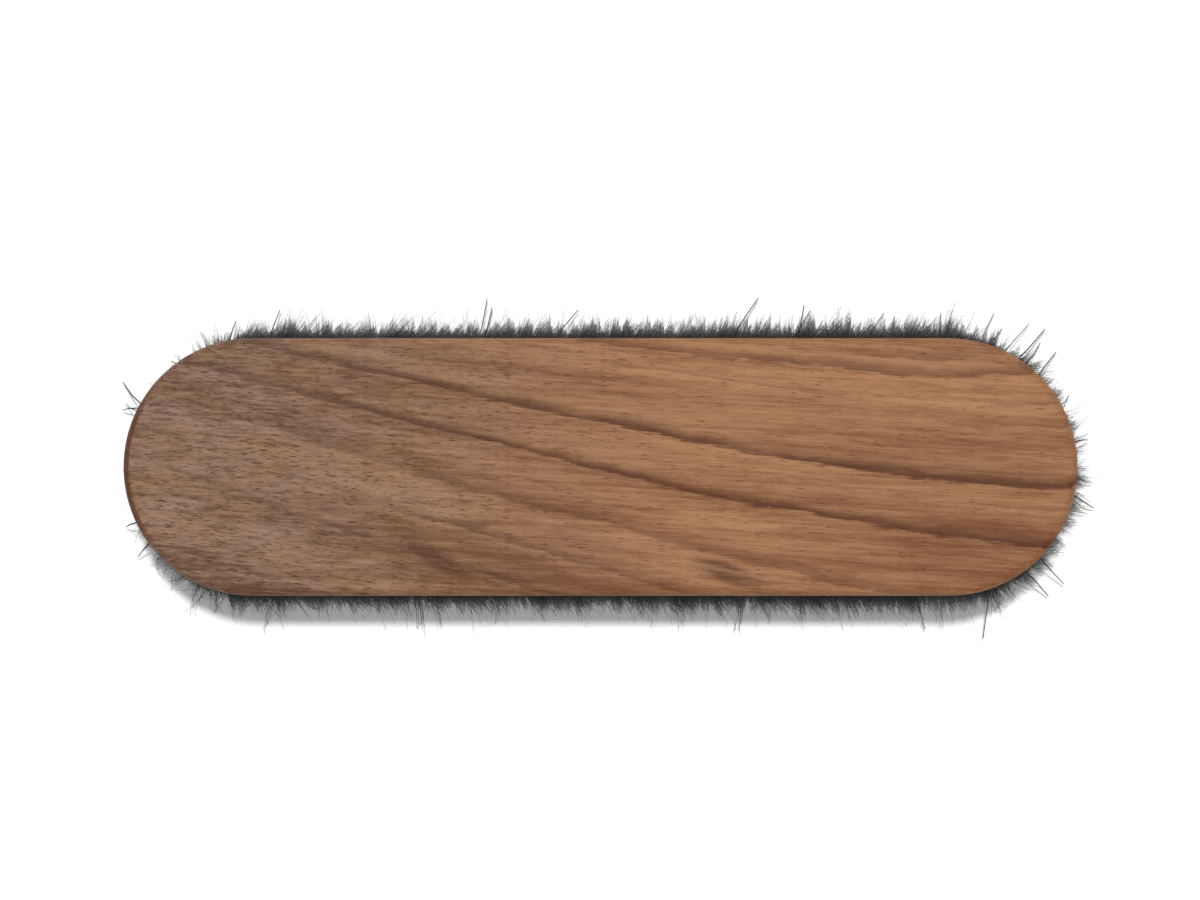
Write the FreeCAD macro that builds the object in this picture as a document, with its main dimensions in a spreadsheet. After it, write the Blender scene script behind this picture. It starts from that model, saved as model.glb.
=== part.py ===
"""Shoe shine brush: a walnut back with a finger groove, drilled from below with blind holes in staggered rows.

Each hole holds a tuft of horsehair, folded in half around a flat metal anchor that is wedged across the hole.
Sizes are in millimetres. X runs along the brush, Z is up, and the origin lies under the middle of the brush,
on the plane of the trimmed hair ends that it stands on.
"""

import FreeCAD, Part
import math
import os
import Sketcher

DRIVING_SIZES = {
    "back_length": 200.0,
    "back_width": 54.0,
    "back_thickness": 17.0,
    "top_round": 1.8,
    "foot_chamfer": 0.8,
    "groove_width": 8.0,
    "groove_depth": 1.6,
    "hole_dia": 6.0,
    "hole_depth": 10.0,
    "hole_pitch": 10.0,
    "row_pitch": 9.0,
    "rim_margin": 6.5,
    "hair_length": 28.0,
    "side_splay": 6.5,
    "end_splay": 8.5,
    "tuft_gap": 0.4,
    "hair_clearance": 0.05,
    "fold_thickness": 1.2,
    "anchor_height": 2.0,
    "anchor_thickness": 0.4,
}
HOLE_SIDES = 10
POINT_ON_PLANE = 1e-4
OUTPUT_FOLDER = "parts"

# Expressions on the sheet that more than one piece shares.
STRAIGHT_LENGTH = "(Sizes.back_length - Sizes.back_width)"
END_RADIUS = "(Sizes.back_width / 2)"
HOLE_REACH = f"({END_RADIUS} - Sizes.rim_margin)"
TOP_HEIGHT = "(Sizes.hair_length + Sizes.back_thickness)"
GROOVE_RADIUS = "((Sizes.groove_width^2 / 4 + Sizes.groove_depth^2) / (2 * Sizes.groove_depth))"
FOLD_TOP = "(Sizes.hair_length + Sizes.hole_depth)"
ANCHOR_FOOT = f"({FOLD_TOP} - Sizes.fold_thickness - Sizes.anchor_height)"


def row_steps(row):
    """Expression for how many pitches a lengthwise row reaches from the middle; odd rows are set off by half."""
    offset = "0.5" if row % 2 else "0"
    reach = f"({STRAIGHT_LENGTH} / 2 + sqrt({HOLE_REACH}^2 - ({row} * Sizes.row_pitch)^2))"
    return f"(floor({reach} / Sizes.hole_pitch - {offset}) + {offset})"


def make_sheet(doc):
    """The spreadsheet of driving dimensions, one named cell each."""
    sheet = doc.addObject("Spreadsheet::Sheet", "Sizes")
    for line, (alias, value) in enumerate(DRIVING_SIZES.items(), start=1):
        sheet.set(f"A{line}", alias)
        sheet.set(f"B{line}", str(value))
        sheet.setAlias(f"B{line}", alias)
    doc.recompute()
    return sheet


def origin_feature(body, role):
    """One of a body's own origin planes or axes."""
    return next(feature for feature in body.Origin.OriginFeatures if feature.Role == role)


def attach(item, body, role, offset):
    """Sets a sketch or primitive on an origin plane, moved by three expressions along the plane's own axes."""
    item.AttachmentSupport = (origin_feature(body, role), [""])
    item.MapMode = "FlatFace"
    for axis, expression in zip("xyz", offset):
        item.setExpression(f"AttachmentOffset.Base.{axis}", expression)


def new_sketch(body, name, role, offset):
    """An empty sketch on one of its body's origin planes."""
    sketch = body.newObject("Sketcher::SketchObject", name)
    attach(sketch, body, role, offset)
    return sketch


def bind(sketch, expression, kind, *elements):
    """Adds a dimension to a sketch and ties it to the sheet."""
    value = sketch.evalExpression(expression)
    index = sketch.addConstraint(Sketcher.Constraint(kind, *elements, float(value)))
    sketch.setExpression(f"Constraints[{index}]", expression)


def draw_outline(sketch):
    """The back's outline: two straight sides joined by half circles."""
    radius = sketch.evalExpression(END_RADIUS)
    half = sketch.evalExpression(STRAIGHT_LENGTH) / 2
    right, left = FreeCAD.Vector(half, 0, 0), FreeCAD.Vector(-half, 0, 0)
    side = FreeCAD.Vector(0, radius, 0)
    up = FreeCAD.Vector(0, 0, 1)
    quarter = math.pi / 2
    sketch.addGeometry(Part.LineSegment(left - side, right - side))
    sketch.addGeometry(Part.ArcOfCircle(Part.Circle(right, up, radius), -quarter, quarter))
    sketch.addGeometry(Part.LineSegment(right + side, left + side))
    sketch.addGeometry(Part.ArcOfCircle(Part.Circle(left, up, radius), quarter, 3 * quarter))
    near, right_end, far, left_end = range(4)
    start, end, centre = 1, 2, 3
    for first, second in ((near, right_end), (right_end, far), (far, left_end), (left_end, near)):
        sketch.addConstraint(Sketcher.Constraint("Tangent", first, end, second, start))
    origin = (-1, start)
    sketch.addConstraint(Sketcher.Constraint("Symmetric", left_end, centre, right_end, centre, *origin))
    sketch.addConstraint(Sketcher.Constraint("Horizontal", near))
    sketch.addConstraint(Sketcher.Constraint("Equal", right_end, left_end))
    bind(sketch, END_RADIUS, "Radius", right_end)
    bind(sketch, STRAIGHT_LENGTH, "DistanceX", left_end, centre, right_end, centre)


def draw_half_disc(sketch, radius):
    """A half disc about the sketch's origin, with its round side towards the sketch's own +X."""
    size = float(sketch.evalExpression(radius))
    circle = Part.Circle(FreeCAD.Vector(), FreeCAD.Vector(0, 0, 1), size)
    sketch.addGeometry(Part.ArcOfCircle(circle, -math.pi / 2, math.pi / 2))
    sketch.addGeometry(Part.LineSegment(FreeCAD.Vector(0, size, 0), FreeCAD.Vector(0, -size, 0)))
    arc, line = range(2)
    start, end, centre = 1, 2, 3
    sketch.addConstraint(Sketcher.Constraint("Coincident", arc, centre, -1, start))
    sketch.addConstraint(Sketcher.Constraint("Coincident", arc, end, line, start))
    sketch.addConstraint(Sketcher.Constraint("Coincident", line, end, arc, start))
    sketch.addConstraint(Sketcher.Constraint("Vertical", line))
    sketch.addConstraint(Sketcher.Constraint("PointOnObject", line, start, -2))
    bind(sketch, radius, "Radius", arc)


def draw_rectangle(sketch, length, width):
    """A rectangle about the sketch's origin, with both sides tied to the sheet."""
    x = float(sketch.evalExpression(length)) / 2
    y = float(sketch.evalExpression(width)) / 2
    corners = [FreeCAD.Vector(*at, 0) for at in ((-x, -y), (x, -y), (x, y), (-x, y))]
    for first, second in zip(corners, corners[1:] + corners[:1]):
        sketch.addGeometry(Part.LineSegment(first, second))
    for side in range(4):
        sketch.addConstraint(Sketcher.Constraint("Coincident", side, 2, (side + 1) % 4, 1))
        sketch.addConstraint(Sketcher.Constraint("Vertical" if side % 2 else "Horizontal", side))
    sketch.addConstraint(Sketcher.Constraint("Symmetric", 0, 1, 2, 1, -1, 1))
    bind(sketch, length, "DistanceX", 0, 1, 0, 2)
    bind(sketch, width, "DistanceY", 1, 1, 1, 2)


def repeat_along_row(body, feature, row):
    """Repeats a row's first hole or anchor along X, a hole pitch apart."""
    pattern = body.newObject("PartDesign::LinearPattern", f"{feature.Name}_pattern")
    pattern.Originals = [feature]
    pattern.Direction = (origin_feature(body, "X_Axis"), [""])
    pattern.setExpression("Length", f"2 * {row_steps(row)} * Sizes.hole_pitch")
    pattern.setExpression("Occurrences", f"2 * {row_steps(row)} + 1")
    body.Tip = pattern


def row_start(row, height):
    """Where a lengthwise row begins, at its left end: expressions for X, Y and Z."""
    return f"-{row_steps(row)} * Sizes.hole_pitch", f"{row} * Sizes.row_pitch", height


def edges_at(shape, height):
    """Names of a shape's edges that lie in the level plane of that height."""
    found = []
    for number, edge in enumerate(shape.Edges, start=1):
        box = edge.BoundBox
        if abs(box.ZMin - height) < POINT_ON_PLANE and abs(box.ZMax - height) < POINT_ON_PLANE:
            found.append(f"Edge{number}")
    return found


def ease_edges(doc, body, name, kind, height, property_name, size):
    """Rounds or bevels the back's outer edge at one level."""
    doc.recompute()
    base = body.Tip
    feature = body.newObject(f"PartDesign::{kind}", name)
    feature.Base = (base, edges_at(base.Shape, float(base.evalExpression(height))))
    feature.setExpression(property_name, size)
    body.Tip = feature


def drill_row(doc, body, place, row):
    """One lengthwise row of blind holes, each drawn with flat sides that lie the drill's diameter apart."""
    doc.recompute()
    hole = body.newObject("PartDesign::SubtractivePrism", f"tuft_hole_{place}")
    half_side = 180 / HOLE_SIDES
    turn = FreeCAD.Rotation(FreeCAD.Vector(0, 0, 1), half_side)
    hole.Polygon = HOLE_SIDES
    hole.AttachmentOffset = FreeCAD.Placement(FreeCAD.Vector(), turn)
    attach(hole, body, "XY_Plane", row_start(row, "Sizes.hair_length"))
    hole.setExpression("Circumradius", f"Sizes.hole_dia / 2 / cos({half_side})")
    hole.setExpression("Height", "Sizes.hole_depth")
    doc.recompute()
    repeat_along_row(body, hole, row)


def make_back(doc, rows):
    """The walnut back: block, finger groove all round, rounded edges and the rows of blind tuft holes."""
    body = doc.addObject("PartDesign::Body", "wood_back")
    outline = new_sketch(body, "outline", "XY_Plane", ("0", "0", "Sizes.hair_length"))
    draw_outline(outline)
    block = body.newObject("PartDesign::Pad", "block")
    block.Profile = outline
    block.setExpression("Length", "Sizes.back_thickness")

    groove_height = "Sizes.hair_length + Sizes.back_thickness / 2"
    path = new_sketch(body, "groove_path", "XY_Plane", ("0", "0", groove_height))
    draw_outline(path)
    cutter_centre = f"-{END_RADIUS} - {GROOVE_RADIUS} + Sizes.groove_depth"
    path_start = f"-{STRAIGHT_LENGTH} / 2"
    cutter = new_sketch(body, "groove_cutter", "YZ_Plane", (cutter_centre, groove_height, path_start))
    draw_half_disc(cutter, GROOVE_RADIUS)
    doc.recompute()
    groove = body.newObject("PartDesign::SubtractivePipe", "finger_groove")
    groove.Profile = cutter
    groove.Spine = (path, ["Edge1", "Edge2", "Edge3", "Edge4"])
    body.Tip = groove

    ease_edges(doc, body, "top_edge", "Fillet", TOP_HEIGHT, "Radius", "Sizes.top_round")
    ease_edges(doc, body, "foot_edge", "Chamfer", "Sizes.hair_length", "Size", "Sizes.foot_chamfer")
    for place, row in enumerate(rows, start=1):
        drill_row(doc, body, place, row)
    return body


def make_anchor_row(doc, place, row):
    """The flat anchors of one lengthwise row: each spans its hole from wall to wall, inside the tuft's fold."""
    body = doc.addObject("PartDesign::Body", f"anchor_row_{place}")
    face = new_sketch(body, f"anchor_face_{place}", "XY_Plane", row_start(row, ANCHOR_FOOT))
    draw_rectangle(face, "Sizes.hole_dia", "Sizes.anchor_thickness")
    plate = body.newObject("PartDesign::Pad", f"anchor_{place}")
    plate.Profile = face
    plate.setExpression("Length", "Sizes.anchor_height")
    doc.recompute()
    repeat_along_row(body, plate, row)
    return body


def hexagon(centre_x, centre_y, height, half_width, shoulder, tip):
    """Corners of a level hexagon with two sides along Y, half_width from its centre, and points at both ends."""
    corners = (
        (half_width, -shoulder),
        (half_width, shoulder),
        (0, tip),
        (-half_width, shoulder),
        (-half_width, -shoulder),
        (0, -tip),
    )
    return [FreeCAD.Vector(centre_x + x, centre_y + y, height) for x, y in corners]


def flat_face(corners):
    """The plane face inside a polygon."""
    return Part.Face(Part.makePolygon(corners + corners[:1]))


def stacked_solid(rings):
    """The solid through level rings whose sides run parallel, so that every face between two rings is plane."""
    faces = [flat_face(rings[0]), flat_face(rings[-1])]
    for upper, lower in zip(rings, rings[1:]):
        for this in range(len(upper)):
            after = (this + 1) % len(upper)
            faces.append(flat_face([upper[this], upper[after], lower[after], lower[this]]))
    return Part.Solid(Part.Shell(faces))


class TuftField:
    """Where the tufts stand in the holes, and where their trimmed ends lie on the standing plane."""

    def __init__(self, sheet, rows):
        self.size = {alias: float(getattr(sheet, alias)) for alias in DRIVING_SIZES}
        self.fold_top = float(sheet.evalExpression(FOLD_TOP))
        self.anchor_foot = float(sheet.evalExpression(ANCHOR_FOOT))
        self.steps = {row: float(sheet.evalExpression(row_steps(row))) for row in rows}
        outer_x = max(self.steps.values()) * self.size["hole_pitch"]
        outer_y = max(rows) * self.size["row_pitch"]
        self.spread_x = 1 + self.size["end_splay"] / outer_x
        self.spread_y = 1 + self.size["side_splay"] / outer_y

    def cross_rows(self):
        """The tufts' hole centres, grouped by their place along X from left to right."""
        groups = {}
        for row, steps in self.steps.items():
            for count in range(round(2 * steps) + 1):
                half_steps = round(2 * (count - steps))
                at = (half_steps * self.size["hole_pitch"] / 2, row * self.size["row_pitch"])
                groups.setdefault(half_steps, []).append(at)
        return [groups[key] for key in sorted(groups)]

    def tuft(self, x, y):
        """One tuft: a six-sided bundle that fills its hole, fans out to its share of the field, and folds round
        its anchor."""
        size = self.size
        half_pitch, row_pitch = size["hole_pitch"] / 2, size["row_pitch"]
        shrink = 1 - size["tuft_gap"] / size["hole_pitch"]
        end_half_width = shrink * half_pitch * self.spread_x
        end_shoulder = shrink * (row_pitch**2 - half_pitch**2) / (2 * row_pitch) * self.spread_y
        end_tip = shrink * (row_pitch**2 + half_pitch**2) / (2 * row_pitch) * self.spread_y
        # The root's corners lie on a circle, and its sides run parallel to those of the tuft's end.
        root = size["hole_dia"] / 2 - size["hair_clearance"]
        slope = math.atan((end_tip - end_shoulder) / end_half_width)
        root_corners = (root * math.sin(2 * slope), root * math.cos(2 * slope), root)
        rings = [
            hexagon(x, y, self.fold_top, *root_corners),
            hexagon(x, y, size["hair_length"], *root_corners),
            hexagon(x * self.spread_x, y * self.spread_y, 0, end_half_width, end_shoulder, end_tip),
        ]
        bundle = stacked_solid(rings)
        window = Part.makeBox(size["hole_dia"], size["anchor_thickness"], size["anchor_height"])
        corner = FreeCAD.Vector(x - size["hole_dia"] / 2, y - size["anchor_thickness"] / 2, self.anchor_foot)
        window.translate(corner)
        return bundle.cut(window).Solids[0]


def make_tuft_row(doc, place, field, centres):
    """The tufts that stand side by side across the brush: three or two, and one at the very ends."""
    row = doc.addObject("Part::Feature", f"tuft_row_{place:02d}")
    row.Shape = Part.makeCompound([field.tuft(x, y) for x, y in centres])
    return row


def check(doc, pieces):
    """Stops the build if any object failed, or a piece's shape is empty or invalid."""
    doc.recompute()
    for item in doc.Objects:
        if {"Invalid", "Error"} & set(item.State):
            raise RuntimeError(f"{item.Label} failed: {item.State}")
    for piece in pieces:
        if piece.Shape.isNull() or not piece.Shape.isValid() or not piece.Shape.Solids:
            raise RuntimeError(f"{piece.Label} has no valid solid")


def main():
    doc = FreeCAD.newDocument("ShoeShineBrush")
    sheet = make_sheet(doc)
    rows_each_side = int(sheet.evalExpression(f"floor({HOLE_REACH} / Sizes.row_pitch)"))
    rows = range(-rows_each_side, rows_each_side + 1)
    field = TuftField(sheet, rows)
    pieces = [make_back(doc, rows)]
    pieces += [make_anchor_row(doc, place, row) for place, row in enumerate(rows, start=1)]
    pieces += [
        make_tuft_row(doc, place, field, centres)
        for place, centres in enumerate(field.cross_rows(), start=1)
    ]
    check(doc, pieces)
    os.makedirs(OUTPUT_FOLDER, exist_ok=True)
    for piece in pieces:
        piece.Shape.exportStep(f"{OUTPUT_FOLDER}/{piece.Label}.step")
        volume = sum(solid.Volume for solid in piece.Shape.Solids)
        print(f"{piece.Label}: {len(piece.Shape.Solids)} solids, {volume:.1f} mm3")


main()
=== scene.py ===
"""Shoe shine brush seen from above: a walnut back over a dense field of horsehair tufts, on a pale floor."""

import math

import bpy
import numpy as np
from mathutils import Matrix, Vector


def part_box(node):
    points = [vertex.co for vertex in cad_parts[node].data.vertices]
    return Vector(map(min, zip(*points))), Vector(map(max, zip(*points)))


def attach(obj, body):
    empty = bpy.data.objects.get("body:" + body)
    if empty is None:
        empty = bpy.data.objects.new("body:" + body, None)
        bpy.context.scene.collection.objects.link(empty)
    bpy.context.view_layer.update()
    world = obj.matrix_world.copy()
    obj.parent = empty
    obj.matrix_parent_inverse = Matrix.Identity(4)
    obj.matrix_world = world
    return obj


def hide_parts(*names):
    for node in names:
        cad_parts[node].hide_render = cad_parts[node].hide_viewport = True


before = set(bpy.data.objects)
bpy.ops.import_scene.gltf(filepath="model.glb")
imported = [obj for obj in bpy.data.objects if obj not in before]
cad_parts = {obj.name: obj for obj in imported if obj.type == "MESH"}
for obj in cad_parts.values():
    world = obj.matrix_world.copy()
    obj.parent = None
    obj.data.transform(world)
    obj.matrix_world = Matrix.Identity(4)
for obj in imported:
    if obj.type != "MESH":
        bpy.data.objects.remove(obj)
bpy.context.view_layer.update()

MM = 0.001

# The picture's frame, in pixels: its size, the middle of the brush and the length of the wooden back.
IMAGE_WIDTH = 1200
IMAGE_HEIGHT = 900
BRUSH_MIDDLE = (600.5, 467.0)
BACK_LENGTH_PX = 955.0

# The camera's height above the wood and how far it sees, in metres, and its sensor, in millimetres.
CAMERA_DISTANCE = 1.6
CAMERA_REACH = 20.0
SENSOR_WIDTH = 36.0

# The lamp's lean and its width in the sky, in degrees, its strength, and the sky's strength.
KEY_TILT = 9.1
KEY_SOFTNESS = 2.9
KEY_STRENGTH = 2.3
SKY_LEVEL = 0.27

# The floor's side, in metres, its tone, and the glow that makes it look white.
FLOOR_SIZE = 8.0
FLOOR_TONE = 0.95
FLOOR_LIFT = 0.19

# Walnut's colours, as screen values of 0 to 255. The wood is duller at the left end than at the right,
# partly its own tone and partly painted light: a greyer painted sheen at the left end and a more brightly
# lit right end.
PALE_LEFT = (155, 124, 107)
PALE_LEFT_PATCH = (151, 117, 88)
PALE_RIGHT = (180, 132, 93)
DEEP_LEFT = (96, 66, 46)
DEEP_RIGHT = (124, 76, 44)
LINE_LEFT = (70, 42, 30)
LINE_RIGHT = (70, 28, 12)
PORE_LEFT = (62, 44, 32)
PORE_RIGHT = (96, 50, 26)
# The streaks' colour, also used for the painted shade over the lower middle.
SMUDGE_AND_SHADE_COLOUR = (74, 40, 28)
# The steep faces' colour: darker stain with painted shade, also used for the painted shade on the left end's
# rounded edge.
SIDE_STAIN_AND_SHADE_COLOUR = (84, 42, 26)

# Where the dark ring lines lie across the back, in millimetres at its middle, and how dark each is.
RING_LINES = (
    (-43.0, 0.25),
    (-30.5, 0.5),
    (-21.5, 0.45),
    (-12.0, 0.5),
    (-0.8, 1.0),
    (9.3, 1.0),
    (25.9, 0.7),
)
# A line's profile: places across it, in millimetres, and the share of its strength at each.
RING_PROFILE = ((-0.15, 0.0), (0.05, 1.0), (0.7, 0.8), (1.9, 0.15))
LINE_STRENGTH = 0.95
# The places that the ramp of lines covers, and how the rings rise, bend and fan out and dip into the wood.
RING_RANGE = (-60.0, 45.0)
RING_SLOPE = 0.231
RING_BEND = -0.0011
RING_FAN = -0.003
RING_DIP = 0.5
# How far slow noise, quick noise and the fibres move the rings, in millimetres.
SLOW_SWAY = 3.5
QUICK_SWAY = 1.8
FIBRE_SWAY = 2.0
# The fine rings between the lines: their spacing, in millimetres, and how sharply each falls off.
FINE_SPACING = 3.6
FINE_POWER = 2.5
# How the fibres rise along the back.
GRAIN_SLOPE = 0.06
# The wood's tone: its level, what the bands and fibres add to it, and its change in each millimetre upwards,
# which is painted light that pales the top and darkens the bottom.
TONE_LEVEL = 0.25
BAND_TONE = 0.7
FIBRE_TONE = 0.6
PAINTED_LIGHT_RISE = -0.0016

# Walnut's noise: spots in each millimetre along, across and into the wood, levels of detail and roughness.
SLOW_NOISE = ((0.03, 0.06, 0.06), 3.0, 0.55)
QUICK_NOISE = ((0.14, 0.5, 0.5), 3.0, 0.55)
BREAK_NOISE = ((0.05, 0.2, 0.2), 3.0, 0.55)
FINE_NOISE = ((0.012, 0.21, 0.05), 3.0, 0.55)
BAND_NOISE = ((0.008, 0.13, 0.05), 2.0, 0.5)
FIBRE_NOISE = ((0.09, 1.9, 1.9), 4.0, 0.65)
FLECK_NOISE = ((0.24, 1.3, 1.3), 4.0, 0.65)
STREAK_NOISE = ((0.018, 0.55, 0.55), 3.0, 0.6)
MOTTLE_NOISE = ((0.07, 0.16, 0.16), 3.0, 0.55)
SMUDGE_NOISE = ((0.09, 1.0, 1.0), 4.0, 0.6)
PORE_NOISE = ((0.3, 0.5, 0.5), 3.0, 0.55)
NOISE_MIDDLE = 0.5

# Changes along the back: two places, in millimetres from its middle, and the value at each.
LINES_ALONG = (-80.0, -25.0, 0.55, 1.0)
FINE_ALONG = (-60.0, 20.0, 0.2, 0.35)
WARMTH_ALONG = (-85.0, 25.0, 0.0, 1.0)
FLECKS_ALONG = (-90.0, 0.0, 1.0, 0.3)
STREAKS_ALONG = (-90.0, 0.0, 0.35, 0.5)
PORES_ALONG = (-90.0, 0.0, 0.95, 0.75)
# Where the left end's rounded edge gets its painted shade.
END_SHADE_ALONG = (-97.5, -93.0, 1.0, 0.0)
# Changes by noise: two noise values, and the result at each.
LINE_BREAKS = (0.35, 0.55, 0.75, 1.0)
FINE_PRESENCE = (0.45, 0.68, 0.0, 1.0)
MOTTLE = (0.35, 0.65, 0.0, 1.0)
SMUDGE_GRAIN = (0.4, 0.6, 0.35, 1.0)
PORE_PATCHES = (0.3, 0.65, 0.35, 1.0)
# The same by the wood's tone, by the distance from a pore's middle, and by how far a face looks up, for the
# darker stain and painted shade on the steep sides and the painted shade on the left end's rounded edge.
DEEPENING = (0.32, 0.9, 0.0, 1.0)
PORE_EDGE = (0.1, 0.34, 1.0, 0.0)
SIDE_STAIN_AND_SHADE = (0.05, 0.4, 0.45, 0.0)
END_SHADE_BY_FACING = (0.88, 0.985, 0.75, 0.0)

# The pores: cells in each millimetre along and across the grain, strength, and share of the cells that hold
# one at the left place and at the right.
PORES = (
    (0.24, 2.0, 1.0, 0.95, 0.2),
    (0.4, 2.6, 1.0, 0.95, 0.2),
    (0.5, 3.6, 0.8, 0.95, 0.2),
    (0.1, 2.2, 0.6, 0.1, 0.7),
    (0.16, 3.0, 0.5, 0.1, 0.7),
)
PORE_SHARE_PLACES = (-90.0, 40.0)
# Soft dark streaks, the last a broad darker patch over the lower middle that is deepened as painted shade:
# middle, half length and half width in millimetres, turn in degrees, and strength.
SMUDGES_AND_SHADE = (
    (-34.0, -19.5, 12.0, 2.4, -33.0, 0.75),
    (26.5, -22.2, 10.0, 2.7, -20.0, 0.85),
    (-27.3, -12.1, 5.0, 1.3, -8.0, 0.35),
    (-8.0, -20.0, 34.0, 11.0, -14.0, 0.28),
)

# The wood's satin finish: roughness, with what fibres and pores add, gloss, and relief with its depth in
# millimetres.
WOOD_ROUGHNESS = 0.5
FIBRE_ROUGHNESS = 0.12
PORE_ROUGHNESS = 0.15
WOOD_GLOSS = 0.13
FIBRE_RELIEF = 0.5
RELIEF_STRENGTH = 0.25
RELIEF_DEPTH = 0.1

# Horsehair's colours: the hairs' own tones on a scale from dark to pale, then patches, tips, and the painted
# shade that darkens the roots under the wood.
HAIR_TONES = (
    (0.0, (24, 22, 21)),
    (0.45, (41, 39, 37)),
    (0.8, (76, 74, 72)),
    (1.0, (120, 118, 116)),
)
PATCH_COLOUR = (84, 82, 80)
TIP_COLOUR = (166, 165, 163)
ROOT_SHADE_COLOUR = (18, 16, 15)
# Noise over the tone map, and changes by it and along the hair, as for the wood.
HAIR_NOISE = ((60.0, 7.0, 1.0), 2.0, 0.55)
HAIR_PATCHES = (0.35, 0.7, 0.0, 0.25)
TIP_FADE = (0.76, 1.0, 0.0, 0.75)
ROOT_SHADE_FADE = (0.45, 0.92, 0.9, 0.0)
HAIR_ROUGHNESS = 0.45
PATCH_ROUGHNESS = 0.2
HAIR_GLOSS = 0.15

# The anchors' steel: its darkest and palest colours, scratches as noise in each metre, and roughness.
STEEL_DARK = (168, 168, 172)
STEEL_PALE = (204, 204, 207)
SCRATCH_NOISE = ((200.0, 4000.0, 9000.0), 4.0, 0.55)
STEEL_ROUGHNESS = 0.3
SCRATCH_ROUGHNESS = 0.2

# Tufts: corners of each one's outline, and how closely their places are read, in digits and millimetres.
TUFT_CORNERS = 6
CORNER_DIGITS = 3
CORNER_TOLERANCE = 0.01

# Hair, in millimetres apart from counts, shares and turns. Every hair starts inside its hole, curves
# outwards and thins towards its tip.
HAIR_SEED = 7
ROOT_DEPTH = 3.0
STRAND_CURVE = 1.15
TIP_THINNING = 0.35
TRIM_SCATTER = 0.5
SIZE_RANGE = (0.8, 1.15)
TUBE_TURNS = (0.0, 2.1, 4.2)

# The hairs that fill a tuft: their bends as shares of the length, the lean of their tips, the share of the
# mouth that they fill, and the clumps that pull on their tips.
INNER_PER_TUFT = 360
INNER_RADIUS = 0.13
INNER_LEVELS = (0.0, 0.5, 1.0)
INNER_LEAN = (0.8, 0.3)
INNER_FILL = 0.94
INNER_BOW = 0.4
INNER_CLUMPS = 9
INNER_CLUMP_SPAN = 0.95
INNER_PULL = (0.1, 0.55)
INNER_HOLD = (0.93, 0.99)
TIP_SCATTER = 0.95
LEAST_DISTANCE = 0.01

# The finer hairs of the soft edge. Their reach past the wood is given at eight places, from the right end by
# the top, and grows a little in each millimetre to the right.
RIM_PER_MM = 94
RIM_RADIUS = 0.054
RIM_LEVELS = (0.0, 0.3, 0.55, 0.8, 1.0)
RIM_REACH = (2.0, 1.8, 2.9, 0.2, -1.0, 2.5, 3.2, 3.3)
RIM_GROWTH = 0.005
RIM_SETBACK = 2.8
RIM_TAIL = 1.9
RIM_SCATTER = 0.2
RIM_LIFT = 0.12
RIM_FILL = 0.9
RIM_BOW = 0.5
RIM_SLANT = (5.0, 0.0)
OWNER_SPREAD = 2.5
# Waves along the edge, as length and height.
SWELLS = ((4.3, 0.25), (7.9, 0.4), (23.0, 0.2))
# The edge's clumps pull hardest on hairs whose tail is as long as FULL_PULL_TAIL or longer.
CLUMP_SPACING = 2.3
CLUMP_JITTER = 0.4
CLUMP_PULL = (0.1, 0.6)
CLUMP_SCATTER = 0.3
FULL_PULL_TAIL = 4.0

# The small bunches have fine hairs of unequal length, as shares of the full one, that lie a little apart.
WISP_HAIRS = 14
WISP_HEIGHT = 0.6
WISP_SCATTER = 0.7
WISP_SHARES = (0.4, 1.0)
# The long stray hairs are thicker and stand higher.
STRAY_RADIUS = 0.2
STRAY_HEIGHT = 4.0
# How far behind its foot such a hair comes from, and the share of its length that the wood hides.
STRAY_BACK = 5.0
STRAY_FOOT_SHARE = 0.68

# The tone map: a column for each tone, in which a hair's sides lie next to each other, from its root up.
UV_MAP = "OFBake"
TONE_COLUMNS = 24
TONE_SHAPE = (1.3, 2.6)
STRIP_EDGES = (0.1, 0.35, 0.65, 0.9)
ROOT_STRIP = 0.1
CAP_STRIP = 0.02

# The long stray hairs, in pixels of the picture: the tip of each, then where it comes out from under the
# wood.
STRAYS_PX = (
    ((236, 321), (232, 338)),
    ((280, 310), (271, 338)),
    ((487, 299), (480, 338)),
    ((492, 308), (485, 338)),
    ((578, 310), (556, 338)),
    ((758, 298), (731, 339)),
    ((804, 305), (797, 339)),
    ((810, 311), (793, 339)),
    ((884, 313), (866, 339)),
    ((941, 313), (938, 339)),
    ((994, 313), (978, 344)),
    ((1002, 329), (987, 347)),
    ((1029, 324), (1004, 351)),
    ((1045, 329), (1017, 359)),
    ((1040, 343), (1025, 364)),
    ((1056, 352), (1037, 374)),
    ((1069, 395), (1060, 405)),
    ((1088, 440), (1075, 441)),
    ((1093, 508), (1075, 497)),
    ((1064, 584), (1043, 563)),
    ((1048, 596), (1027, 574)),
    ((983, 638), (987, 593)),
    ((925, 629), (915, 596)),
    ((138, 557), (150, 544)),
    ((126, 527), (135, 523)),
    ((123, 410), (136, 408)),
    ((126, 404), (137, 411)),
    ((123, 382), (141, 403)),
    ((171, 361), (178, 364)),
)

# Small bunches of fine hair that reach past the even fringe, in pixels as above.
WISPS_PX = (
    ((153, 568), (164, 556)),
    ((172, 586), (183, 574)),
    ((191, 613), (203, 588)),
    ((212, 619), (221, 592)),
    ((238, 618), (243, 594)),
    ((263, 632), (276, 594)),
    ((284, 614), (288, 594)),
    ((326, 612), (325, 594)),
    ((409, 621), (407, 594)),
    ((421, 637), (418, 594)),
    ((498, 625), (500, 595)),
    ((560, 618), (556, 595)),
    ((640, 620), (636, 595)),
    ((678, 627), (674, 596)),
    ((740, 635), (738, 596)),
    ((772, 625), (766, 596)),
    ((820, 618), (814, 596)),
    ((844, 625), (836, 596)),
    ((915, 620), (908, 596)),
    ((1000, 614), (994, 592)),
)


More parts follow.
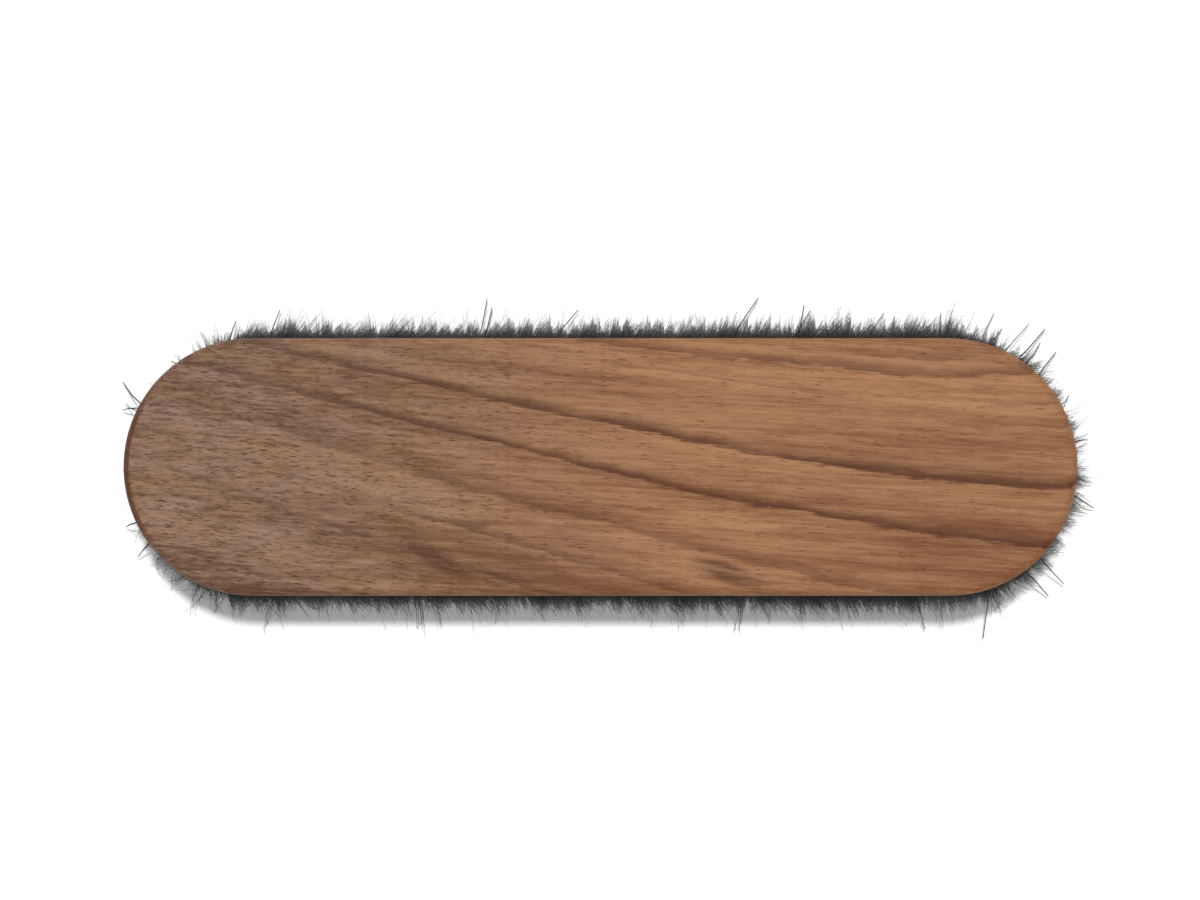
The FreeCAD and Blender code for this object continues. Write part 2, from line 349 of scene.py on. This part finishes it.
def srgb(colour):
    """A screen colour of 0 to 255 as the linear colour that a shader takes."""
    linear = []
    for value in colour:
        share = value / 255
        linear.append(share / 12.92 if share <= 0.04045 else ((share + 0.055) / 1.055) ** 2.4)
    return (*linear, 1.0)


def grey(level):
    """A linear colour with three equal parts."""
    return (level, level, level, 1.0)


class Shader:
    """The node tree of a material or world, with short calls for the nodes used here."""

    def __init__(self, owner):
        self.owner = owner
        owner.use_nodes = True
        self.tree = owner.node_tree
        self.tree.nodes.clear()

    def add(self, kind, inputs=None, **settings):
        """A new node, whose inputs take the values or sockets given by name or number."""
        node = self.tree.nodes.new(kind)
        for name, value in settings.items():
            setattr(node, name, value)
        for key, value in (inputs or {}).items():
            if isinstance(value, bpy.types.NodeSocket):
                self.tree.links.new(value, node.inputs[key])
            else:
                node.inputs[key].default_value = value
        return node

    def math(self, operation, *values):
        """The result of one operation on the values."""
        return self.add("ShaderNodeMath", dict(enumerate(values)), operation=operation).outputs[0]

    def step(self, value, low, high, start, end):
        """A smooth change from start to end while value goes from low to high."""
        inputs = {"Value": value, "From Min": low, "From Max": high, "To Min": start, "To Max": end}
        return self.add("ShaderNodeMapRange", inputs, interpolation_type="SMOOTHSTEP").outputs["Result"]

    def sway(self, noise, weight, base):
        """The base, moved by the weight times a noise value's distance from its middle."""
        return self.math("MULTIPLY_ADD", self.math("SUBTRACT", noise, NOISE_MIDDLE), weight, base)

    def mix(self, factor, first, second):
        """A colour between two others, which the node takes at inputs 6 and 7 and gives at output 2."""
        node = self.add("ShaderNodeMix", {"Factor": factor, 6: first, 7: second}, data_type="RGBA")
        return node.outputs[2]

    def ramp(self, factor, stops):
        """A colour from a row of stops, each with its position and colour."""
        node = self.add("ShaderNodeValToRGB", {"Fac": factor})
        elements = node.color_ramp.elements
        while len(elements) < len(stops):
            elements.new(0.5)
        for element, (position, colour) in zip(elements, stops):
            element.position = position
            element.color = colour
        return node.outputs["Color"]

    def stretched(self, axes, scales):
        """A point whose three coordinates are scaled one by one."""
        scaled = [self.math("MULTIPLY", axis, scale) for axis, scale in zip(axes, scales)]
        return self.add("ShaderNodeCombineXYZ", dict(enumerate(scaled))).outputs[0]

    def noise(self, axes, scales, detail, roughness):
        """Noise from 0 to 1 that is stretched by the scale of each axis."""
        place = self.stretched(axes, scales)
        inputs = {"Vector": place, "Scale": 1.0, "Detail": detail, "Roughness": roughness}
        return self.add("ShaderNodeTexNoise", inputs).outputs["Fac"]

    def seen_directly(self):
        """1 for rays from the camera, or by way of a mirror or glass, and 0 for the light on the object."""
        rays = self.add("ShaderNodeLightPath").outputs
        seen = self.math("MAXIMUM", rays["Is Camera Ray"], rays["Is Glossy Ray"])
        return self.math("MAXIMUM", seen, rays["Is Transmission Ray"])

    def finish(self, shader, kind="ShaderNodeOutputMaterial"):
        """The finished material or world, with the shader on its output."""
        self.add(kind, {"Surface": shader})
        return self.owner

    def finish_principled(self, inputs):
        """The finished material, with the given inputs on a principled shader."""
        return self.finish(self.add("ShaderNodeBsdfPrincipled", inputs).outputs[0])


def ring_place(s, axes, fibre):
    """Each point's place across the growth rings, in millimetres. They bend, fan out, dip and sway."""
    x, y, z = axes
    depth = s.math("SUBTRACT", z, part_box("wood_back")[1][2] / MM)
    bend = s.math("MULTIPLY", s.math("MULTIPLY", x, x), RING_BEND)
    fan = s.math("MULTIPLY", s.math("MULTIPLY", x, y), RING_FAN)
    ring = s.math("ADD", s.math("MULTIPLY_ADD", x, RING_SLOPE, y), s.math("ADD", bend, fan))
    ring = s.math("MULTIPLY_ADD", depth, RING_DIP, ring)
    ring = s.sway(s.noise(axes, *SLOW_NOISE), SLOW_SWAY, ring)
    ring = s.sway(s.noise(axes, *QUICK_NOISE), QUICK_SWAY, ring)
    return s.sway(fibre, FIBRE_SWAY, ring)


def ring_stops():
    """Ramp stops for the growth rings: each line starts sharply and fades out upwards to the next one."""
    low, high = RING_RANGE
    stops = []
    for line, strength in RING_LINES:
        for offset, share in RING_PROFILE:
            stops.append(((line + offset - low) / (high - low), grey(strength * share)))
    return stops


def line_shade(s, axes, ring):
    """How dark the ring lines are at each point: fainter in places and at the left end."""
    low, high = RING_RANGE
    place = s.math("DIVIDE", s.math("SUBTRACT", ring, low), high - low)
    lines = s.math("MULTIPLY", s.ramp(place, ring_stops()), s.step(axes[0], *LINES_ALONG))
    lines = s.math("MULTIPLY", lines, s.step(s.noise(axes, *BREAK_NOISE), *LINE_BREAKS))
    return s.math("MULTIPLY", lines, LINE_STRENGTH)


def fine_shade(s, ring_axes):
    """How dark the fine rings are at each point, in the bands that have them."""
    x, ring, _ = ring_axes
    fall = s.math("SUBTRACT", 1.0, s.math("FRACT", s.math("DIVIDE", ring, FINE_SPACING)))
    presence = s.step(s.noise(ring_axes, *FINE_NOISE), *FINE_PRESENCE)
    fine = s.math("MULTIPLY", s.math("POWER", fall, FINE_POWER), presence)
    return s.math("MULTIPLY", fine, s.step(x, *FINE_ALONG))


def wood_depth(s, y, ring_axes, grain_axes, fibre):
    """How deep the wood's colour is at each point, by broad bands, fibres, flecks and streaks, and by
    painted light that pales it upwards.
    """
    x = grain_axes[0]
    tone = s.math("MULTIPLY_ADD", s.noise(ring_axes, *BAND_NOISE), BAND_TONE, TONE_LEVEL)
    tone = s.sway(fibre, FIBRE_TONE, tone)
    tone = s.sway(s.noise(grain_axes, *FLECK_NOISE), s.step(x, *FLECKS_ALONG), tone)
    tone = s.sway(s.noise(grain_axes, *STREAK_NOISE), s.step(x, *STREAKS_ALONG), tone)
    # Painted light: the wood pales upwards and darkens towards the bottom.
    tone = s.math("MULTIPLY_ADD", y, PAINTED_LIGHT_RISE, tone)
    return s.step(tone, *DEEPENING)


def smudge_shade(s, x, y, smudge):
    """How dark one soft streak is at each point; the broad one is partly painted shade."""
    middle_x, middle_y, half_length, half_width, turn, strength = smudge
    cosine = math.cos(math.radians(turn))
    sine = math.sin(math.radians(turn))
    from_x = s.math("SUBTRACT", x, middle_x)
    from_y = s.math("SUBTRACT", y, middle_y)
    along = s.math("MULTIPLY", from_y, sine / half_length)
    along = s.math("MULTIPLY_ADD", from_x, cosine / half_length, along)
    across = s.math("MULTIPLY", from_x, -sine / half_width)
    across = s.math("MULTIPLY_ADD", from_y, cosine / half_width, across)
    square = s.math("MULTIPLY_ADD", along, along, s.math("MULTIPLY", across, across))
    return s.step(square, 0.0, 1.0, strength, 0.0)


def pore_layer(s, axes, scales, share):
    """Short dark pores along the grain, in the given share of the cells."""
    cells = s.add("ShaderNodeTexVoronoi", {"Vector": s.stretched(axes, scales), "Scale": 1.0})
    pick = s.add("ShaderNodeSeparateColor", {0: cells.outputs["Color"]}).outputs[0]
    chosen = s.math("LESS_THAN", pick, share)
    return s.math("MULTIPLY", chosen, s.step(cells.outputs["Distance"], *PORE_EDGE))


def pore_shade(s, axes, grain_axes):
    """How dark the pores are at each point: the darkest of the layers, stronger in some patches."""
    pores = 0.0
    for run, width, strength, left_share, right_share in PORES:
        share = s.step(axes[0], *PORE_SHARE_PLACES, left_share, right_share)
        layer = pore_layer(s, grain_axes, (run, width, width), share)
        pores = s.math("MAXIMUM", pores, s.math("MULTIPLY", layer, strength))
    return s.math("MULTIPLY", pores, s.step(s.noise(axes, *PORE_NOISE), *PORE_PATCHES))


def walnut_material():
    """Satin walnut: growth rings that sweep along the back, fibres and pores, duller at the left end.
    Painted light pales it upwards and on the right and lays a sheen on the left end; painted shade darkens
    the steep faces, the left end's edge and the lower middle.
    """
    s = Shader(bpy.data.materials.new("walnut"))
    coordinates = s.add("ShaderNodeTexCoord").outputs
    in_mm = s.add("ShaderNodeVectorMath", {0: coordinates["Object"], "Scale": 1 / MM}, operation="SCALE")
    x, y, z = s.add("ShaderNodeSeparateXYZ", {0: in_mm.outputs[0]}).outputs
    axes = (x, y, z)
    grain_axes = (x, s.math("MULTIPLY_ADD", x, GRAIN_SLOPE, y), z)
    fibre = s.noise(grain_axes, *FIBRE_NOISE)
    ring = ring_place(s, axes, fibre)
    ring_axes = (x, ring, z)
    warmth = s.step(x, *WARMTH_ALONG)

    mottle = s.step(s.noise(axes, *MOTTLE_NOISE), *MOTTLE)
    # The pale and deep colours hold painted light: a greyer sheen at the left end and brighter light on the
    # right.
    pale_left = s.mix(mottle, srgb(PALE_LEFT), srgb(PALE_LEFT_PATCH))
    pale = s.mix(warmth, pale_left, srgb(PALE_RIGHT))
    deep = s.mix(warmth, srgb(DEEP_LEFT), srgb(DEEP_RIGHT))
    colour = s.mix(wood_depth(s, y, ring_axes, grain_axes, fibre), pale, deep)

    # Soft dark streaks in the wood; the broad one over the lower middle is partly painted shade.
    grain = s.step(s.noise(grain_axes, *SMUDGE_NOISE), *SMUDGE_GRAIN)
    for smudge in SMUDGES_AND_SHADE:
        shade = s.math("MULTIPLY", smudge_shade(s, x, y, smudge), grain)
        colour = s.mix(shade, colour, srgb(SMUDGE_AND_SHADE_COLOUR))

    line_colour = s.mix(warmth, srgb(LINE_LEFT), srgb(LINE_RIGHT))
    colour = s.mix(fine_shade(s, ring_axes), colour, line_colour)
    colour = s.mix(line_shade(s, axes, ring), colour, line_colour)

    pores = pore_shade(s, axes, grain_axes)
    pore_colour = s.mix(warmth, srgb(PORE_LEFT), srgb(PORE_RIGHT))
    colour = s.mix(s.math("MULTIPLY", pores, s.step(x, *PORES_ALONG)), colour, pore_colour)

    # Painted shade on the left end's rounded edge, and darker stain with painted shade on the steep sides.
    facing = s.add("ShaderNodeSeparateXYZ", {0: coordinates["Normal"]}).outputs[2]
    painted_end_shade = s.math("MULTIPLY", s.step(facing, *END_SHADE_BY_FACING), s.step(x, *END_SHADE_ALONG))
    stain_and_painted_shade = s.math("MAXIMUM", s.step(facing, *SIDE_STAIN_AND_SHADE), painted_end_shade)
    colour = s.mix(stain_and_painted_shade, colour, srgb(SIDE_STAIN_AND_SHADE_COLOUR))

    relief = s.math("SUBTRACT", s.math("MULTIPLY", fibre, FIBRE_RELIEF), pores)
    bump_inputs = {"Strength": RELIEF_STRENGTH, "Distance": RELIEF_DEPTH * MM, "Height": relief}
    rough = s.math("MULTIPLY_ADD", fibre, FIBRE_ROUGHNESS, WOOD_ROUGHNESS)
    return s.finish_principled({
        "Base Color": colour,
        "Roughness": s.math("MULTIPLY_ADD", pores, PORE_ROUGHNESS, rough),
        "Normal": s.add("ShaderNodeBump", bump_inputs).outputs[0],
        "Specular IOR Level": WOOD_GLOSS,
    })


def horsehair_material():
    """Grey-black hair: each strand keeps one tone, darkened by painted shade from under the wood down to its
    root, and paler towards its worn tip.
    """
    s = Shader(bpy.data.materials.new("horsehair"))
    place = s.add("ShaderNodeUVMap", uv_map=UV_MAP).outputs[0]
    tone, length, _ = s.add("ShaderNodeSeparateXYZ", {0: place}).outputs
    colour = s.ramp(tone, [(position, srgb(shade)) for position, shade in HAIR_TONES])
    patches = s.noise((tone, length, 0.0), *HAIR_NOISE)
    colour = s.mix(s.step(patches, *HAIR_PATCHES), colour, srgb(PATCH_COLOUR))
    colour = s.mix(s.step(length, *TIP_FADE), colour, srgb(TIP_COLOUR))
    # Painted shade: each hair darkens from under the wood's edge down to its root.
    colour = s.mix(s.step(length, *ROOT_SHADE_FADE), colour, srgb(ROOT_SHADE_COLOUR))
    rough = s.math("MULTIPLY_ADD", patches, PATCH_ROUGHNESS, HAIR_ROUGHNESS)
    return s.finish_principled({"Base Color": colour, "Roughness": rough, "Specular IOR Level": HAIR_GLOSS})


def anchor_material():
    """Drawn steel strip with fine scratches along it."""
    s = Shader(bpy.data.materials.new("anchor_steel"))
    coordinates = s.add("ShaderNodeTexCoord").outputs["Object"]
    axes = s.add("ShaderNodeSeparateXYZ", {0: coordinates}).outputs
    scratches = s.noise(axes, *SCRATCH_NOISE)
    colour = s.mix(scratches, srgb(STEEL_DARK), srgb(STEEL_PALE))
    rough = s.math("MULTIPLY_ADD", scratches, SCRATCH_ROUGHNESS, STEEL_ROUGHNESS)
    return s.finish_principled({"Base Color": colour, "Roughness": rough, "Metallic": 1.0})


def floor_material():
    """Pale matt floor that looks white where nothing shades it."""
    s = Shader(bpy.data.materials.new("pale_floor"))
    matt = s.add("ShaderNodeBsdfDiffuse", {"Color": grey(FLOOR_TONE)})
    lift = s.add("ShaderNodeEmission", {"Strength": s.math("MULTIPLY", s.seen_directly(), FLOOR_LIFT)})
    return s.finish(s.add("ShaderNodeAddShader", {0: matt.outputs[0], 1: lift.outputs[0]}).outputs[0])


class Outline:
    """The wooden back's outline from above: two straight sides and two half circles, in millimetres."""

    def __init__(self, low, high):
        self.radius = high[1] / MM
        self.straight_half = high[0] / MM - self.radius
        self.half_length = 2 * self.straight_half + math.pi * self.radius

    def at(self, distance):
        """Points and outward directions at distances along the outline, from the foot of the right end."""
        turned = np.where(distance % (2 * self.half_length) < self.half_length, 1, -1)[:, None]
        run = distance % self.half_length
        angle = np.minimum(run / self.radius, math.pi) - math.pi / 2
        outward = np.stack([np.cos(angle), np.sin(angle)], axis=1)
        side_run = np.maximum(run - math.pi * self.radius, 0)
        centre = np.stack([self.straight_half - side_run, np.zeros_like(run)], axis=1)
        return turned * (centre + outward * self.radius), turned * outward

    def hold_in(self, points, shares):
        """Moves points that lie beyond their shares of the hair's reach back to there."""
        middle = np.clip(points[:, 0], -self.straight_half, self.straight_half)
        centre = np.stack([middle, np.zeros_like(middle)], axis=1)
        away = points - centre
        distance = np.maximum(np.linalg.norm(away, axis=1), LEAST_DISTANCE)
        limit = shares * (self.radius + hair_reach(away / distance[:, None]))
        return centre + away * np.minimum(1, limit / distance)[:, None]


def hair_reach(outward):
    """How far the hair stands out past the wood in the given directions."""
    turn = np.arctan2(outward[:, 1], outward[:, 0]) / (2 * math.pi)
    return np.interp(turn, np.arange(len(RIM_REACH)) / len(RIM_REACH), RIM_REACH, period=1)


def swell(random, distance, around):
    """A slow change along the outline in how far the hair stands out."""
    total = np.zeros_like(distance)
    for length, height in SWELLS:
        waves = round(around / length)
        total += height * np.sin(2 * math.pi * (waves * distance / around + random.uniform()))
    return total


def level_corners(node, height):
    """A tuft row's corners at one height, in millimetres, grouped by tuft from low Y to high."""
    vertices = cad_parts[node].data.vertices
    points = {tuple(np.round(np.array(vertex.co) / MM, CORNER_DIGITS)) for vertex in vertices}
    level = sorted((y, x) for x, y, z in points if abs(z - height) < CORNER_TOLERANCE)
    return np.array([(x, y) for y, x in level]).reshape(-1, TUFT_CORNERS, 2)


def hexagon_points(corners, across, along):
    """Points inside a tuft's hexagon for shares from -1 to 1 across it and along its own height there."""
    centre = corners.mean(axis=0)
    reach = np.abs(corners - centre)
    half_width, tip = reach.max(axis=0)
    shoulder = reach[reach[:, 0] > half_width / 2, 1].mean()
    height = tip - (tip - shoulder) * np.abs(across)
    return centre + np.stack([across * half_width, along * height], axis=1)


def strand_lines(mouth, mouth_height, tip, tip_height, bow, shares):
    """Middle lines of hairs from inside the hole to the tips, as an array of strand, level and XYZ."""
    levels = [np.column_stack([mouth, np.full(len(mouth), mouth_height + ROOT_DEPTH)])]
    for share in shares:
        flat = mouth + (tip - mouth) * share**STRAND_CURVE + bow * math.sin(math.pi * share)
        levels.append(np.column_stack([flat, mouth_height + (tip_height - mouth_height) * share]))
    return np.stack(levels, axis=1)


def inner_hairs(random, mouth_corners, tip_corners, mouth_height, outline):
    """The hairs that fill one tuft, gathered a little into clumps at their tips."""
    count = INNER_PER_TUFT
    seats = random.uniform(-1, 1, (count, 2))
    mouth = hexagon_points(mouth_corners, *(seats * INNER_FILL).T)
    clumps = random.uniform(-INNER_CLUMP_SPAN, INNER_CLUMP_SPAN, (INNER_CLUMPS, 2))
    nearest = np.linalg.norm(seats[:, None] - clumps[None], axis=2).argmin(axis=1)
    gathered = seats + (clumps[nearest] - seats) * random.uniform(*INNER_PULL, (count, 1))
    tip = hexagon_points(tip_corners, *gathered.T) + random.normal(0, TIP_SCATTER, (count, 2)) + INNER_LEAN
    tip = outline.hold_in(tip, random.uniform(*INNER_HOLD, count))
    tip_height = np.abs(random.normal(0, TRIM_SCATTER, count))
    bow = random.normal(0, INNER_BOW, (count, 2))
    return strand_lines(mouth, mouth_height, tip, tip_height, bow, INNER_LEVELS)


def rim_tips(random, outline):
    """Tips of the rim's hairs, in small pointed clumps, their heights and the places they come from.

    The last value says that these hairs have no given feet.
    """
    around = 2 * outline.half_length
    count = int(around * RIM_PER_MM)
    distance = random.uniform(0, around, count)
    clumps = np.arange(0, around, CLUMP_SPACING)
    clumps += random.uniform(-CLUMP_JITTER, CLUMP_JITTER, len(clumps)) * CLUMP_SPACING
    nearest = np.abs(distance[:, None] - clumps[None]).argmin(axis=1)
    tail = np.abs(random.normal(0, RIM_TAIL, count))
    pull = random.uniform(*CLUMP_PULL, count) * np.minimum(tail / FULL_PULL_TAIL, 1)
    gathered = distance + (clumps[nearest] - distance) * pull
    point, outward = outline.at(gathered)
    fullness = random.normal(0, CLUMP_SCATTER, len(clumps))[nearest] + swell(random, distance, around)
    out = hair_reach(outward) + RIM_GROWTH * point[:, 0] + fullness + tail - RIM_SETBACK
    tip = point + outward * out[:, None] + random.normal(0, RIM_SCATTER, (count, 2))
    height = np.abs(random.normal(0, TRIM_SCATTER, count)) + RIM_LIFT * np.maximum(out, 0) ** 2
    origin = tip - RIM_SLANT + random.normal(0, OWNER_SPREAD, tip.shape)
    return tip, height, origin, None


def under_pixels(pixels, height):
    """The places at a height, in millimetres, that the camera sees at the given pixels."""
    middle = np.array((IMAGE_WIDTH / 2, IMAGE_HEIGHT / 2))
    low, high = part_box("wood_back")
    scale = np.array((1, -1)) * (high[0] - low[0]) / MM / BACK_LENGTH_PX
    farther = 1 + (high[2] - height * MM) / CAMERA_DISTANCE
    return (middle - BRUSH_MIDDLE) * scale + (pixels - middle) * scale * farther


def placed_tips(pairs, height):
    """Tips of hairs seen at given pixels, their heights, the places they come from and their feet."""
    tip = under_pixels(pairs[:, 0], height)
    foot = under_pixels(pairs[:, 1], height)
    back = (foot - tip) / np.linalg.norm(foot - tip, axis=1, keepdims=True)
    return tip, np.full(len(tip), height), foot + STRAY_BACK * back, foot


def wisp_tips(random):
    """The same for the small bunches, whose hairs are of unequal length and lie a little apart."""
    tip, height, origin, foot = placed_tips(np.repeat(WISPS_PX, WISP_HAIRS, axis=0), WISP_HEIGHT)
    reach = random.uniform(*WISP_SHARES, (len(tip), 1))
    tip = foot + (tip - foot) * reach + random.normal(0, WISP_SCATTER, tip.shape)
    return tip, height, origin, foot + random.normal(0, 2 * WISP_SCATTER, foot.shape)


def rim_hairs(random, tips, heights, origins, feet, mouths, mouth_height):
    """Lines of the rim's hairs, and the number of the tuft nearest to each hair's origin, which holds it."""
    centres = mouths.mean(axis=1)
    owner = np.linalg.norm(origins[:, None] - centres[None], axis=2).argmin(axis=1)
    spread = random.uniform(-RIM_FILL, RIM_FILL, (len(tips), 2))
    mouth = np.empty_like(tips)
    for number, corners in enumerate(mouths):
        own = owner == number
        mouth[own] = hexagon_points(corners, *spread[own].T)
    if feet is None:
        bow = random.normal(0, RIM_BOW, tips.shape)
    else:
        straight = mouth + (tips - mouth) * STRAY_FOOT_SHARE**STRAND_CURVE
        bow = (feet - straight) / math.sin(math.pi * STRAY_FOOT_SHARE)
    return strand_lines(mouth, mouth_height, tips, heights, bow, RIM_LEVELS), owner


def tube_pattern(shares):
    """One tube's side faces and then its end caps, as corner numbers and as places on the tone map."""
    sides = len(TUBE_TURNS)
    heights = [0.0, *(ROOT_STRIP + (1 - ROOT_STRIP) * share for share in shares)]
    faces = []
    places = []
    for level, (low, high) in enumerate(zip(heights, heights[1:])):
        for side, (left, right) in enumerate(zip(STRIP_EDGES, STRIP_EDGES[1:])):
            first = level * sides + side
            second = level * sides + (side + 1) % sides
            faces.append((first, second, second + sides, first + sides))
            places.append(((left, low), (right, low), (right, high), (left, high)))

    end = len(shares) * sides
    caps = ((2, 1, 0), (end, end + 1, end + 2))
    left, right = STRIP_EDGES[0], STRIP_EDGES[-1]
    middle = (left + right) / 2
    cap_places = (
        ((left, 0.0), (middle, CAP_STRIP), (right, 0.0)),
        ((left, 1.0), (middle, 1 - CAP_STRIP), (right, 1.0)),
    )
    return (faces, places), (caps, cap_places)


def tubes(random, strands, shares, radius):
    """Closed tapering tubes along strands: points, faces, and each face corner's place on the tone map."""
    count, levels, _ = strands.shape
    thinning = np.array([1.0, *(1 - TIP_THINNING * share**2 for share in shares)]) * radius
    turn = random.uniform(0, 2 * math.pi, count)[:, None] + np.array(TUBE_TURNS)
    ring = np.stack([np.cos(turn), np.sin(turn), np.zeros_like(turn)], axis=2)
    size = random.uniform(*SIZE_RANGE, count)[:, None] * thinning
    points = (strands[:, :, None] + ring[:, None] * size[:, :, None, None]).reshape(-1, 3)

    first = np.arange(count)[:, None, None] * levels * len(TUBE_TURNS)
    column = np.floor(random.beta(*TONE_SHAPE, count) * TONE_COLUMNS)
    shift = np.stack([column, np.zeros(count)], axis=1)[:, None, None]
    faces = []
    places = []
    for pattern, pattern_places in tube_pattern(shares):
        faces += (np.array(pattern) + first).reshape(-1, len(pattern[0])).tolist()
        places.append(((np.array(pattern_places) + shift) / (TONE_COLUMNS, 1.0)).reshape(-1, 2))
    return points, faces, np.concatenate(places)


def add_hair(node, parts, material):
    """Makes one piece of hair from its tubes, in the place of a row of plain tufts."""
    points, faces, places = parts[0]
    for more_points, more_faces, more_places in parts[1:]:
        faces = faces + [[corner + len(points) for corner in face] for face in more_faces]
        points = np.concatenate([points, more_points])
        places = np.concatenate([places, more_places])
    mesh = bpy.data.meshes.new(f"hair_{node}")
    mesh.from_pydata((points * MM).tolist(), [], faces)
    mesh.uv_layers.new(name=UV_MAP).data.foreach_set("uv", places.ravel())
    mesh.polygons.foreach_set("use_smooth", np.ones(len(mesh.polygons), dtype=bool))
    mesh.materials.append(material)
    piece = bpy.data.objects.new(mesh.name, mesh)
    bpy.context.collection.objects.link(piece)
    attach(piece, "root")
    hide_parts(node)


def make_hair(material):
    """Replaces every row of plain tufts by its hairs."""
    low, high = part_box("wood_back")
    mouth_height = low[2] / MM
    outline = Outline(low, high)
    random = np.random.default_rng(HAIR_SEED)
    nodes = sorted(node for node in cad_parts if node.startswith("tuft_row"))
    mouths = [level_corners(node, mouth_height) for node in nodes]
    all_mouths = np.concatenate(mouths)
    rim = rim_hairs(random, *rim_tips(random, outline), all_mouths, mouth_height)
    stray = rim_hairs(random, *placed_tips(np.array(STRAYS_PX), STRAY_HEIGHT), all_mouths, mouth_height)
    wisp = rim_hairs(random, *wisp_tips(random), all_mouths, mouth_height)
    first = 0
    for node, row in zip(nodes, mouths):
        tips = level_corners(node, 0.0)
        inner = [inner_hairs(random, *pair, mouth_height, outline) for pair in zip(row, tips)]
        parts = [tubes(random, np.concatenate(inner), INNER_LEVELS, INNER_RADIUS)]
        for (lines, owner), radius in ((rim, RIM_RADIUS), (wisp, RIM_RADIUS), (stray, STRAY_RADIUS)):
            own = lines[(owner >= first) & (owner < first + len(row))]
            parts.append(tubes(random, own, RIM_LEVELS, radius))
        add_hair(node, parts, material)
        first += len(row)


def paint(node, material):
    """Gives a carried-over piece its finished material."""
    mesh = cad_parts[node].data
    mesh.materials.clear()
    mesh.materials.append(material)


def make_floor():
    """The floor that the brush stands on."""
    half = FLOOR_SIZE / 2
    corners = [(-half, -half, 0), (half, -half, 0), (half, half, 0), (-half, half, 0)]
    mesh = bpy.data.meshes.new("floor")
    mesh.from_pydata(corners, [], [(0, 1, 2, 3)])
    mesh.materials.append(floor_material())
    floor = bpy.data.objects.new("floor", mesh)
    bpy.context.collection.objects.link(floor)


def make_light():
    """A soft lamp that leans towards the picture's upper edge, and an even sky that looks white itself."""
    lamp = bpy.data.lights.new("key", "SUN")
    lamp.energy = KEY_STRENGTH
    lamp.angle = math.radians(KEY_SOFTNESS)
    key = bpy.data.objects.new("key", lamp)
    key.rotation_euler = (-math.radians(KEY_TILT), 0, 0)
    bpy.context.collection.objects.link(key)

    s = Shader(bpy.data.worlds.new("sky"))
    strength = s.step(s.seen_directly(), 0.0, 1.0, SKY_LEVEL, 1.0)
    background = s.add("ShaderNodeBackground", {"Color": grey(1.0), "Strength": strength})
    bpy.context.scene.world = s.finish(background.outputs[0], "ShaderNodeOutputWorld")


def make_camera():
    """Straight above the brush, with a lens that gives the wooden back its length in the picture."""
    low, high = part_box("wood_back")
    scale = (high[0] - low[0]) / BACK_LENGTH_PX
    data = bpy.data.cameras.new("camera")
    data.sensor_fit = "HORIZONTAL"
    data.sensor_width = SENSOR_WIDTH
    data.lens = SENSOR_WIDTH * CAMERA_DISTANCE / (IMAGE_WIDTH * scale)
    data.clip_end = CAMERA_REACH
    camera = bpy.data.objects.new("camera", data)
    camera.location = (
        (IMAGE_WIDTH / 2 - BRUSH_MIDDLE[0]) * scale,
        (BRUSH_MIDDLE[1] - IMAGE_HEIGHT / 2) * scale,
        high[2] + CAMERA_DISTANCE,
    )
    bpy.context.collection.objects.link(camera)
    bpy.context.scene.camera = camera


def main():
    """Dresses the brush and sets it in its scene."""
    paint("wood_back", walnut_material())
    steel = anchor_material()
    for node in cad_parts:
        if node.startswith("anchor_row"):
            paint(node, steel)
    make_hair(horsehair_material())
    make_floor()
    make_light()
    make_camera()
    bpy.context.scene.view_settings.view_transform = "Standard"


main()
